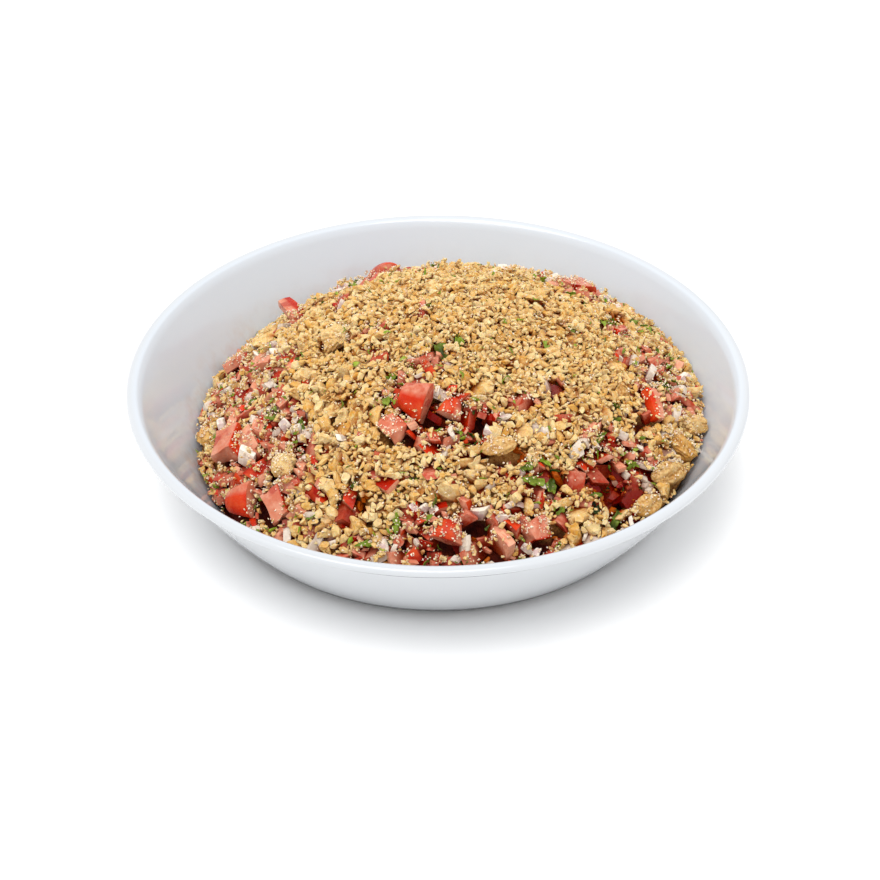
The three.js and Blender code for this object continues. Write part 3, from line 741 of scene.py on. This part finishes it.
def chunk_form(size):
    """Knobbly kernel piece: a ball with slow lobes and winding ridges, cut by a few planes where it broke."""
    ball, triangles = ball_grid(56, 38)
    x, y, z = (ball / 2).T
    lobes = 1 + 0.1 * np.sin(9 * x + 4 * y) * np.cos(8 * z - 3 * x) + 0.08 * np.sin(13 * y + 5 * z)
    ridges = 1 + 0.15 * (np.abs(np.sin(9 * x + 3 * np.sin(8 * y + 5 * z))) - 0.6)
    ridges = ridges + 0.1 * (np.abs(np.sin(13 * y - 7 * z + 3 * np.sin(11 * x))) - 0.6)
    fine = 1 + 0.05 * np.sin(31 * x + 9 * y) * np.sin(27 * z - 11 * y + 3 * x)
    facing = ball @ unit(random.normal(size=(9, 3))).T
    broken = np.where(facing > 0.05, sample(0.36, 0.46, 9) / np.maximum(facing, 0.05), 9.0).min(-1)
    radius = 0.51 * lobes * ridges * fine
    broken = broken * (1 + 0.04 * np.sin(37 * x + 5 * np.sin(29 * y)) * np.sin(33 * z + 4 * x))
    points = ball * np.minimum(radius, broken)[:, None]
    open_cut = (broken < radius) | (points[:, 0] > 0.43) | (points[:, 2] < -0.35)
    points[:, 2] = np.maximum(points[:, 2], -0.36)
    points[:, 0] = np.minimum(points[:, 0], 0.44)
    skin = np.where(open_cut, 0.1, np.clip(0.6 + 4 * (0.98 - ridges), 0, 1))
    return points * np.array(size), triangles, skin


def quarter_form(size):
    """Quarter kernel: a long ball with folds and furrows that run and twist along its back."""
    ball, triangles = ball_grid(56, 44)
    along, side, up = ball[:, 2] / 2, ball[:, 0] / 2, ball[:, 1] / 2
    around = np.arctan2(up, side)
    fold = 1 + 0.13 * np.cos(5 * around + 6 * along) * (1 - 4 * along**2)
    furrow = 1 + 0.07 * (np.abs(np.sin(4 * around + 9 * along + np.sin(14 * along))) - 0.6)
    furrow = furrow + 0.03 * np.sin(23 * along + 4 * np.sin(3 * around))
    side = side * fold * furrow
    up = np.maximum(up * fold * furrow, -0.3) - 0.25 * along**2
    points = np.stack([along, side, up], -1)
    groove = np.clip(1.06 - fold * furrow, 0, 0.2) / 0.2
    return points * np.array(size), triangles, 0.3 + 0.7 * groove


BROWN_CHUNKS = ("walnut_chunk_right", "walnut_chunk_far_right", "walnut_chunk_left")
FORMS = dict(cube=cube_form, wedge=wedge_form, strip=strip_form, chunk=chunk_form, quarter=quarter_form)


def seat(x, y, heading, lean, lift):
    """Rotation and place of a loose piece: X along its heading on the heap, Z out of it, front end lifted."""
    out = heap_normal(float(x), float(y))
    ahead = np.array([np.cos(heading), np.sin(heading), 0])
    ahead = unit(ahead - out * (ahead @ out))
    basis = np.stack([ahead, np.cross(out, ahead), out], -1)
    cos, sin = np.cos(lean), np.sin(lean)
    tip = np.array([[cos, 0, -sin], [0, 1, 0], [sin, 0, cos]])
    return basis @ tip, np.array([x, y, heap_height(x, y)]) + out * lift


def make_loose_piece(name, form, x, y, size, heading, lean, looks):
    """One large tomato or walnut piece, seated as its solid is."""
    points, triangles, skin = FORMS[form](size)
    tip = np.radians(lean)
    lift = size[2] * (0.5 - SUNK) + size[0] / 2 * abs(np.sin(tip)) * 0.6
    turn, place = seat(x, y, np.radians(heading), tip, lift)
    points = points @ turn.T + place
    kind = name.split("_")[0]
    soft = kind == "tomato"
    up = (points[:, 2] - points[:, 2].min()) / np.ptp(points[:, 2])
    tint = np.ones((len(points), 4))
    brown = form == "quarter" or name in BROWN_CHUNKS
    # painted light: the large walnut pieces are lighter towards their top; the tomato pieces' flesh is paler
    # towards their bottom
    tint[:, 0] = sample(0.3, 0.6, None) + (0.5 * (0.5 - up) if soft else 0.4 * up - 0.3 * brown)
    tint[:, 1] = sample(0.2, 0.8, None)
    tint[:, 2] = skin if soft else np.clip(1.3 * skin + 0.2, 0, 1) if brown else 0.25 * skin
    # painted shade and dampness, at half strength on the large pieces
    look, damp_shade = looks[kind], LOOSE_DAMP_SHADE * shade_and_damp(points)
    make_piece("fresh_" + name, points, triangles, look, name, tint=tint, smooth=soft, damp_shade=damp_shade)
    return points


# ---- The heap ----
def make_core(look):
    """Core p(share, azimuth) at the height of the bed, closed underneath along the bowl's side and floor."""
    share = np.linspace(0, 1, 71)[:, None]
    azimuth = TURN * np.arange(180)[None, :] / 180
    radius = share * (edge_radius(azimuth) - CORE_EDGE)
    x, y = radius * np.cos(azimuth), radius * np.sin(azimuth)
    rough = 0.7 * np.sin(0.9 * x + np.sin(1.1 * y)) * np.sin(1.05 * y - 0.6 * x)
    z = bed(x, y) + rough
    level = np.linspace(0, 1, 8)[1:, None]
    side_z = z[-1:] + (CORE_UNDERSIDE - z[-1:]) * level
    beside_wall = inner_radius(np.maximum(side_z, CORNER)) - CLEAR_OF_SIDE
    side_r = np.minimum(radius[-1:], beside_wall) - 5.0 * (level == 1)
    x = np.concatenate([x[1:], side_r * np.cos(azimuth)])
    y = np.concatenate([y[1:], side_r * np.sin(azimuth)])
    grid = np.stack([x, y, np.concatenate([z[1:], side_z])], -1)
    points, triangles = closed_rings(grid, [0, 0, z[0].mean()], [0, 0, CORE_UNDERSIDE])
    tint = np.ones((len(points), 4))
    # painted shade: 1 where the core shows its near-black red, in the bare patches and hollows
    tint[:, 0] = np.maximum(bareness(*points.T[:2]), hollow(*points.T[:2]))
    make_piece("salad_core", points, triangles[:, ::-1], look, "salad", tint=tint, smooth=True)


def stretched(shapes):
    """Shapes moved to the middle and stretched to a half size of 1 along each axis."""
    low, high = shapes.min(1, keepdims=True), shapes.max(1, keepdims=True)
    return (shapes - (low + high) / 2) / ((high - low) / 2)


def broken_shapes(kinds, around, rows, cuts, nearest, jitter):
    """Broken nut: along direction u the radius is the least of 1 and d / (n . u) over random planes (n, d),
    and drawn in by up to DENT round two random directions. On some shapes, what the planes leave of the ball
    is skin. Directions and radii are moved at random by jitter, and each shape is stretched to a half size
    of 1."""
    ball, triangles = ball_grid(around, rows)
    away = unit(ball[None] + jitter * random.normal(size=(kinds, len(ball), 3)))
    normal = unit(random.normal(size=(kinds, cuts, 3)))
    depth = random.uniform(nearest, 0.75, size=(kinds, 1, cuts))
    facing = np.einsum("kvj,kcj->kvc", away, normal)
    reach = np.where(facing > 0.05, depth / np.maximum(facing, 0.05), 9.0).min(-1)
    radius = np.minimum(reach, 1) * random.uniform(1 - jitter, 1 + jitter, size=reach.shape)
    near = np.einsum("kvj,kdj->kvd", away, unit(random.normal(size=(kinds, 2, 3))))
    radius = radius * (1 - DENT * np.clip((near - 0.5) / 0.4, 0, 1)).prod(-1)
    shapes = stretched(away * radius[..., None])
    skin = (reach[:, triangles].mean(-1) > 1.02) * (random.random((kinds, 1)) < 0.25)
    return shapes, triangles, skin.astype(float)


def diced_shapes(kinds, steps, rounding, wobble, bend):
    """Cut dice: blocks with a random shear and taper, bent along x; on some of them one side is skin."""
    box, triangles = block(steps, rounding)
    shear = np.eye(3) + random.uniform(-wobble, wobble, size=(kinds, 3, 3))
    taper = 1 + random.uniform(-0.45, 0.1, size=(kinds, 1, 1)) * (box[None, :, :1] + 1) / 2
    shapes = np.einsum("kij,vj->kvi", shear, box) * np.concatenate([1 + 0 * taper, taper, taper], -1)
    shapes[..., 2] -= bend * random.uniform(-0.5, 1.5, size=(kinds, 1)) * shapes[..., 0] ** 2
    shapes = stretched(shapes)
    skin = (box[triangles][..., 2].min(-1) > 0.9)[None] * (random.random((kinds, 1)) < 0.45)
    return shapes, triangles, skin.astype(float)


def leaf_shapes(kinds, along, across):
    """Parsley leaf on a grid (s, t): half width w(s) with three lobes, folded by |t| and waved along s, with
    two faces and a rim between them."""
    s, t = np.meshgrid(np.linspace(0, 1, along), np.linspace(-1, 1, across), indexing="ij")
    shapes = []
    for phase, fold, curl in zip(sample(0, TURN, kinds), sample(0.15, 0.7, kinds), sample(0.1, 0.35, kinds)):
        lobes = 3 * TURN * s + phase
        width = np.sin(np.pi * np.clip(s, 0.02, 0.98)) ** 0.6 * (0.62 + 0.25 * np.cos(lobes))
        x = 2 * s - 1 + 0.18 * np.abs(t) * np.cos(3 * TURN * s)
        y = t * width
        z = fold * np.abs(y) + curl * np.sin(TURN * s + phase) + 0.16 * np.sin(lobes) * np.abs(t)
        shapes.append(np.stack([x, y, z], -1).reshape(-1, 3))
    shapes = np.array(shapes)
    apart = [0, 0, LEAF_THICKNESS / 2]
    shapes = np.concatenate([shapes + apart, shapes - apart], axis=1)
    index = np.arange(along * across).reshape(along, across)
    a, b, c, d = index[:-1, :-1], index[1:, :-1], index[1:, 1:], index[:-1, 1:]
    face = np.concatenate([between(a, b, c), between(a, c, d)])
    border = np.concatenate([index[:-1, 0], index[-1, :-1], index[:0:-1, -1], index[0, :0:-1]])
    ahead = np.roll(border, -1)
    under = along * across
    rim = [between(border, border + under, ahead), between(ahead, border + under, ahead + under)]
    triangles = np.concatenate([face, face[:, ::-1] + under, *rim])
    return shapes, triangles, np.zeros((kinds, len(triangles)))


MEAL = ("walnut_crumbs", "walnut_dust")


def scatter(pile, name, shapes, sizes, wanted, ceiling, lying, light=(0, 1), tries=6):
    """Drops pieces on the pile, large ones first, and joins them in one mesh. The first word of the name is
    what they are, ceiling is how far they may stand over the dome, and lying how far they tip at random."""
    kind = name.split("_")[0]
    look = pile.looks["meal" if name in MEAL else kind]
    shapes, triangles, skin = shapes
    sizes = sizes[np.argsort(-sizes.max(-1))]
    half = sizes / 2
    spots = spots_on_heap(40 * len(sizes), wanted, pile)
    middles = pile.drop(spots, half, ceiling, tries)
    lies = np.isfinite(middles[:, 0])
    middles, half, count = middles[lies], half[lies], lies.sum()
    turns = lying_turns(middles[:, 0], middles[:, 1], sample(0, TURN, count), lying)
    which = random.integers(len(shapes), size=count)
    points, faces = copies(shapes, triangles, which, half, turns, middles)
    # painted shade: a piece is made darker the deeper its middle lies under the dome
    depth = np.clip(heap_height(middles[:, 0], middles[:, 1]) - middles[:, 2], 0, 6)
    brightness = sample(*light, count) - PAINTED_SHADE_PER_MM * depth
    tint = tint_of(len(triangles), which, skin, brightness, sample(0, 1, count))
    leafy = kind == "parsley"
    # each point's painted shade and dampness goes into the tint's alpha
    make_piece(name, points, faces, look, "salad", tint=tint, smooth=leafy, damp_shade=shade_and_damp(points))


def chips(count, low, high, width, thickness):
    """Sizes of pieces, more of the small ones: low + (high - low) * u ^ 1.6 long, and as wide and thick as
    these shares of it say."""
    longest = low + (high - low) * sample(0, 1, count) ** 1.6
    return np.stack([longest, longest * sample(*width, count), longest * sample(*thickness, count)], -1)


def mixed(x, y):
    """How far the chopped salad shows: fully in the bare patches, and a little towards the heap's edge."""
    return bareness(x, y) + MIXED_AT_EDGE * np.clip(1.6 * outward(x, y) - 0.8, 0, 1)


# Each of these gives the chance that a place is wanted for a kind of piece.
def salad_shows(x, y, pile):
    return np.clip(mixed(x, y) + 0.012, 0, 1) * pile.free(x, y)


def herbs_show(x, y, pile):
    return np.minimum(salad_shows(x, y, pile) + 0.02, 1)


def nuts_show(x, y, pile):
    return (1 - 0.72 * np.clip(mixed(x, y), 0, 1)) * pile.free(x, y)


def nuts_near_edge(x, y, pile):
    return nuts_show(x, y, pile) * outward(x, y) ** 2


def nuts_to_the_left(x, y, pile):
    return nuts_show(x, y, pile) * np.clip(0.12 + outward(x, y) ** 3 - 0.004 * x, 0, 1)


def meal_lies(x, y, pile):
    return (1 - 0.85 * bareness(x, y)) * pile.free(x, y)


def dust_lies(x, y, pile):
    clots = np.sin(0.55 * x + 2 * np.sin(0.4 * y)) * np.sin(0.6 * y - 1.5 * np.sin(0.45 * x))
    clotted = np.clip(0.45 + 1.5 * clots, 0.25, 1)
    share = np.clip(0.1 + 0.6 * bareness(x, y) + pile.covered(x, y), 0, 1)
    return share * clotted * (1 - hollow(x, y))


# Width and thickness of small pieces, as shares of their length.
ROUND = ((0.6, 0.95), (0.5, 0.85))
LONG = ((0.5, 0.9), (0.4, 0.75))
FLAT = ((0.5, 0.9), (0.35, 0.7))
LEAFY = ((0.4, 0.8), (0.5, 1.0))


def scatter_salad(pile):
    """Cut tomato and onion, and torn leaves of parsley."""
    shapes, size = diced_shapes(40, 3, 0.03, 0.34, 0.3), chips(600, 5, 14, (0.45, 0.85), (0.3, 0.6))
    scatter(pile, "tomato_pieces", shapes, size, salad_shows, ceiling=1.6, lying=0.5)
    shapes, size = diced_shapes(40, 2, 0.03, 0.34, 0.3), chips(700, 2.8, 7, *FLAT)
    scatter(pile, "tomato_bits", shapes, size, salad_shows, ceiling=1.0, lying=0.8)
    shapes, size = diced_shapes(30, 3, 0.07, 0.3, 0.35), chips(340, 3.5, 8.5, (0.5, 0.95), (0.3, 0.65))
    scatter(pile, "onion_pieces", shapes, size, salad_shows, ceiling=2.0, lying=0.7)
    shapes, size = leaf_shapes(20, 13, 7), chips(140, 6, 14, (0.4, 0.75), (0.5, 1.1))
    scatter(pile, "parsley_leaves", shapes, size, salad_shows, ceiling=3.0, lying=0.45)


def scatter_nuts(pile):
    """Chopped walnut from large to small, and its meal between the pieces."""
    shapes, size = broken_shapes(40, 12, 9, 12, 0.2, 0.11), chips(170, 6.5, 11, *ROUND)
    scatter(pile, "walnut_large", shapes, size, nuts_near_edge, ceiling=3.0, lying=0.4, light=(0.3, 0.9))
    shapes, size = broken_shapes(60, 9, 6, 10, 0.2, 0.13), chips(750, 4.2, 7.2, *ROUND)
    scatter(pile, "walnut_coarse", shapes, size, nuts_to_the_left, ceiling=2.2, lying=0.6, light=(0.25, 1))
    shapes, size = broken_shapes(90, 6, 4, 6, 0.15, 0.15), chips(3700, 2.7, 5.6, *LONG)
    scatter(pile, "walnut_chopped", shapes, size, nuts_show, ceiling=1.8, lying=0.9, light=(0.25, 1))
    shapes, size = broken_shapes(90, 5, 3, 5, 0.15, 0.2), chips(5600, 1.8, 3.6, *LONG)
    scatter(pile, "walnut_bits", shapes, size, nuts_show, ceiling=1.3, lying=1, light=(0.3, 1))
    shapes, size = broken_shapes(60, 4, 2, 4, 0.2, 0.2), chips(5200, 1.0, 2.2, *LONG)
    scatter(pile, "walnut_fine", shapes, size, meal_lies, ceiling=0, lying=1, light=(0.3, 0.9))
    shapes, size = broken_shapes(30, 4, 1, 3, 0.4, 0.2), chips(7000, 0.6, 1.5, *ROUND)
    scatter(pile, "walnut_crumbs", shapes, size, meal_lies, ceiling=0.2, lying=1, light=(0.1, 0.7), tries=3)


def scatter_herbs(pile):
    """Leaves and flecks of parsley that lie on top."""
    shapes, size = leaf_shapes(20, 11, 5), chips(90, 5, 13, (0.45, 0.8), (0.5, 1.0))
    scatter(pile, "parsley_on_top", shapes, size, herbs_show, ceiling=3.5, lying=0.4)
    shapes, size = leaf_shapes(16, 5, 3), chips(420, 1.2, 4.2, *LEAFY)
    scatter(pile, "parsley_flecks", shapes, size, herbs_show, ceiling=3.0, lying=0.6)


def scatter_dust(pile):
    """Small bits, flecks and dust over the bare patches and the large pieces."""
    shapes, size = broken_shapes(60, 4, 2, 4, 0.2, 0.2), chips(1500, 1.4, 3.8, *FLAT)
    scatter(pile, "walnut_sprinkled", shapes, size, dust_lies, ceiling=5, lying=1, light=(0.4, 1), tries=1)
    shapes, size = leaf_shapes(16, 5, 3), chips(160, 1.2, 3.6, *LEAFY)
    scatter(pile, "parsley_sprinkled", shapes, size, dust_lies, ceiling=5, lying=0.6, tries=1)
    shapes, size = broken_shapes(30, 4, 1, 3, 0.4, 0.2), chips(9000, 0.4, 1.4, *ROUND)
    scatter(pile, "walnut_dust", shapes, size, dust_lies, ceiling=6, lying=1, light=(0.6, 1.3), tries=1)


def make_heap(looks):
    """The large loose pieces first, and everything smaller dropped round and over them."""
    pile = Pile(looks)
    for row in LOOSE_PIECES:
        pile.cover(make_loose_piece(*row, looks))
    scatter_salad(pile)
    scatter_nuts(pile)
    scatter_herbs(pile)
    scatter_dust(pile)


# ---- Stage ----
AIM = np.array([0.000763, -0.020834, 0.03])
DISTANCE = 0.9
LOOK_DOWN = np.radians(36.486)
LENS = 92.07
SKY = 0.95
SUN = 1.9
SUN_SPREAD = 45
SUN_TURN = (np.radians(10), np.radians(-8), 0)  # it shines from above, a little from the near left


def floor_look():
    """Plain, matt and nearly white."""
    look = Look("pale_floor", 0.9)
    look.colour(look.mix(look.noise(3.0), paint(250, 250, 250), paint(252, 252, 252)))
    return look.material


def make_stage():
    """A wide pale floor, an even white sky, and one broad soft light."""
    half = 6.0
    mesh = bpy.data.meshes.new("floor")
    corners = [(-half, -half, 0), (half, -half, 0), (half, half, 0), (-half, half, 0)]
    mesh.from_pydata(corners, [], [(0, 1, 2, 3)])
    mesh.materials.append(floor_look())
    floor = bpy.data.objects.new("floor", mesh)
    bpy.context.scene.collection.objects.link(floor)

    world = bpy.data.worlds.new("white_sky")
    world.use_nodes = True
    background = world.node_tree.nodes["Background"].inputs
    background["Color"].default_value = (1, 1, 1, 1)
    background["Strength"].default_value = SKY
    bpy.context.scene.world = world

    lamp = bpy.data.lights.new("softbox", "SUN")
    lamp.energy = SUN
    lamp.angle = np.radians(SUN_SPREAD)
    light = bpy.data.objects.new("softbox", lamp)
    light.rotation_euler = SUN_TURN
    bpy.context.scene.collection.objects.link(light)
    bpy.context.scene.view_settings.view_transform = "Standard"


def make_camera():
    """The photo's view: DISTANCE metres from AIM, looking down on the near side."""
    data = bpy.data.cameras.new("camera")
    data.lens = LENS
    data.sensor_width = 36.0
    camera = bpy.data.objects.new("camera", data)
    camera.location = AIM + DISTANCE * np.array([0, -np.cos(LOOK_DOWN), np.sin(LOOK_DOWN)])
    camera.rotation_euler = (np.pi / 2 - LOOK_DOWN, 0, 0)
    bpy.context.scene.collection.objects.link(camera)
    bpy.context.scene.camera = camera


# ---- The whole ----
make_camera()
make_stage()
looks = {
    "tomato": tomato_look(),
    "onion": onion_look(),
    "parsley": parsley_look(),
    "walnut": walnut_look("walnut_kernel", paint(206, 148, 58), paint(231, 211, 162), paint(218, 172, 88)),
    "meal": walnut_look("walnut_meal", paint(196, 140, 88), paint(250, 234, 208), paint(232, 190, 150)),
}
make_bowl(glaze_look())
make_core(core_look())
make_heap(looks)
